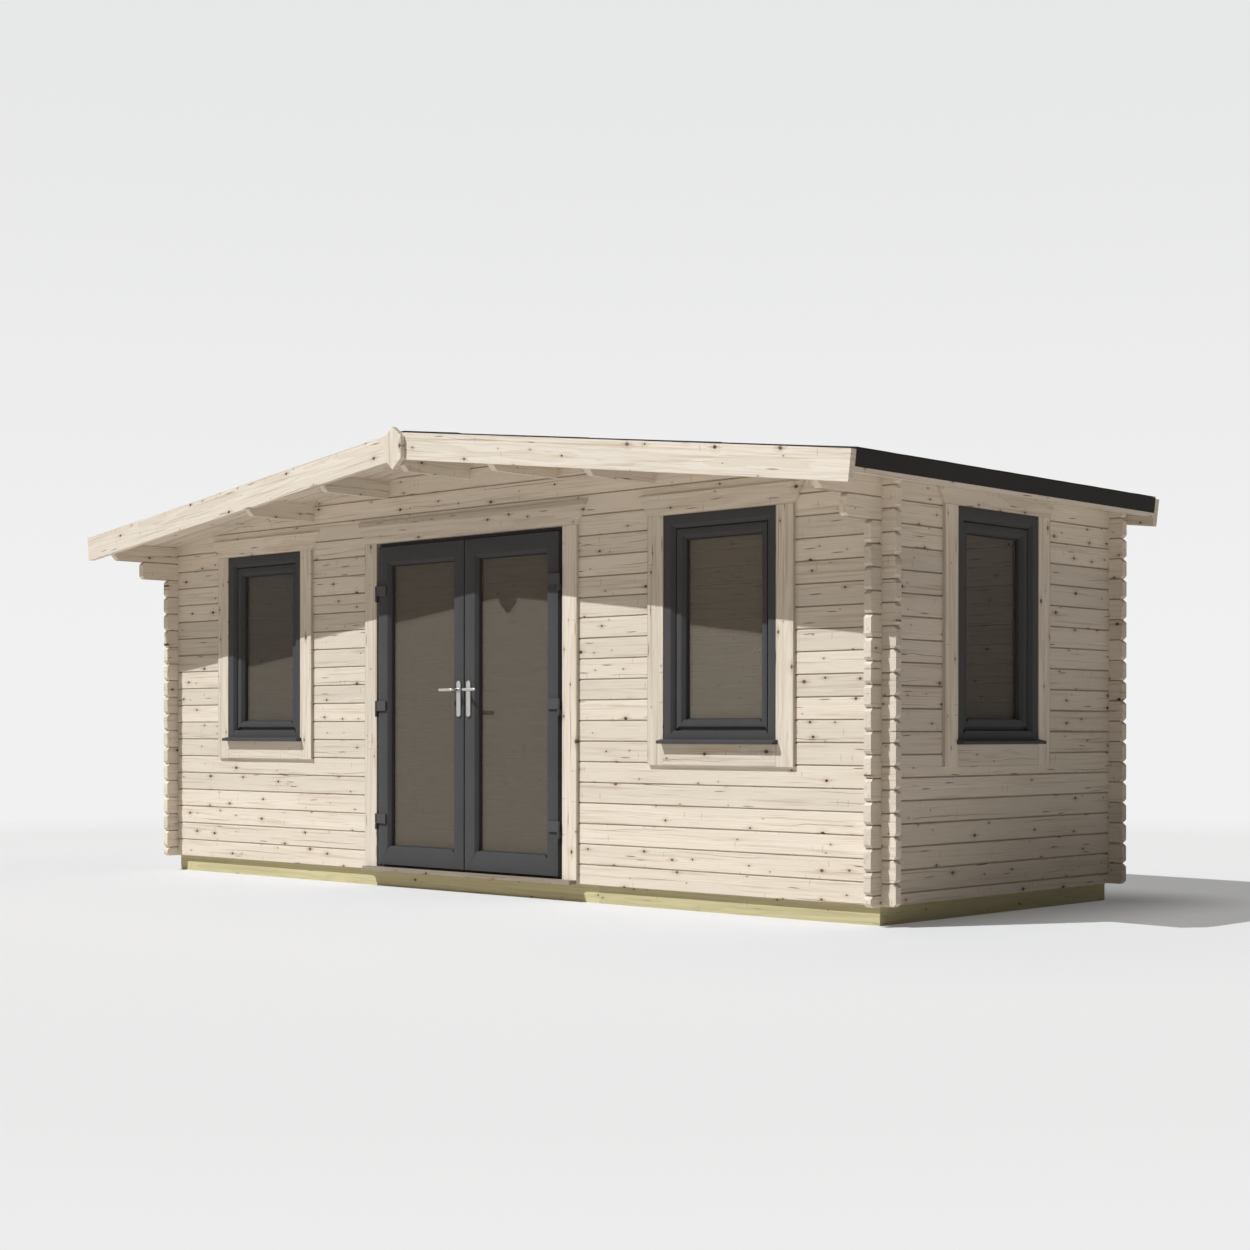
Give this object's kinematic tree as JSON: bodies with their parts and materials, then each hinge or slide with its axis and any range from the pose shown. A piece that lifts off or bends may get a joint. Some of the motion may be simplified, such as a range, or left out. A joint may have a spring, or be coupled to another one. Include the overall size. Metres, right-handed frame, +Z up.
{
  "type": "log cabin",
  "caption": "Timber log cabin with a low gable roof over a front canopy, outward double glazed doors, dark framed windows and notched log corners.",
  "frame": {"origin": "on the ground under the middle of the four walls, on the underside of the middle floor joist", "axes": "+X along the front wall to its right-hand end seen from the front, +Y from front to back, +Z up"},
  "size_m": [6.473, 2.859, 2.6767],
  "materials": {
    "spruce": "planed bare spruce with knots and grain",
    "treated_timber": "pressure treated timber, green-yellow",
    "roof_felt": "black mineral roofing felt",
    "anthracite_frame": "anthracite satin frame profile",
    "satin_metal": "satin chrome",
    "hinge_metal": "dark painted steel",
    "glass": "clear sealed glass unit"
  },
  "bodies": {
    "cabin": {"back_gable": "spruce", "back_wall": "spruce", "door_frame": "anthracite_frame", "door_sill": "spruce", "door_trim": "spruce", "eaves_battens": "spruce", "floor_boards": "spruce", "floor_joists": "treated_timber", "front_bargeboards": "spruce", "front_finial": "spruce", "front_gable": "spruce", "front_lintel_log": "spruce", "front_wall_left": "spruce", "front_wall_right": "spruce", "hinge_jamb_halves": "hinge_metal", "left_wall": "spruce", "perimeter_bearers": "treated_timber", "rear_bargeboards": "spruce", "ridge_purlin": "spruce", "right_wall": "spruce", "roof_boards_left": "spruce", "roof_boards_right": "spruce", "roof_cover_left": "roof_felt", "roof_cover_right": "roof_felt", "side_purlins": "spruce", "window_frame_left": "anthracite_frame", "window_frame_right": "anthracite_frame", "window_frame_side": "anthracite_frame", "window_glass_left": "glass", "window_glass_right": "glass", "window_glass_side": "glass", "window_sash_left": "anthracite_frame", "window_sash_right": "anthracite_frame", "window_sash_side": "anthracite_frame", "window_sills": "anthracite_frame", "window_trim_left": "spruce", "window_trim_right": "spruce", "window_trim_side": "spruce"},
    "door_left": {"door_glass_left": "glass", "door_hinges_left": "hinge_metal", "door_leaf_left": "anthracite_frame", "door_plates_left": "satin_metal"},
    "door_right": {"door_glass_right": "glass", "door_hinges_right": "hinge_metal", "door_leaf_right": "anthracite_frame", "door_plates_right": "satin_metal"},
    "lever_left": {"door_lever_left": "satin_metal"},
    "lever_right": {"door_lever_right": "satin_metal"}
  },
  "joints": [
    {"name": "door_left_swing", "type": "hinge", "parent": "cabin", "child": "door_left", "pos_m": [-0.798, -1.121, 1.106], "axis": [0, 0, -1], "range_deg": [0, 100]},
    {"name": "door_right_swing", "type": "hinge", "parent": "cabin", "child": "door_right", "pos_m": [0.798, -1.121, 1.106], "axis": [0, 0, 1], "range_deg": [0, 100]},
    {"name": "lever_left_turn", "type": "hinge", "parent": "door_left", "child": "lever_left", "pos_m": [-0.043, -1.122, 1.194], "axis": [0, -1, 0], "range_deg": [0, 40], "stiffness_Nm_per_rad": 1, "springref_deg": -28.65},
    {"name": "lever_right_turn", "type": "hinge", "parent": "door_right", "child": "lever_right", "pos_m": [0.043, -1.122, 1.194], "axis": [0, 1, 0], "range_deg": [0, 40], "stiffness_Nm_per_rad": 1, "springref_deg": -28.65}
  ]
}
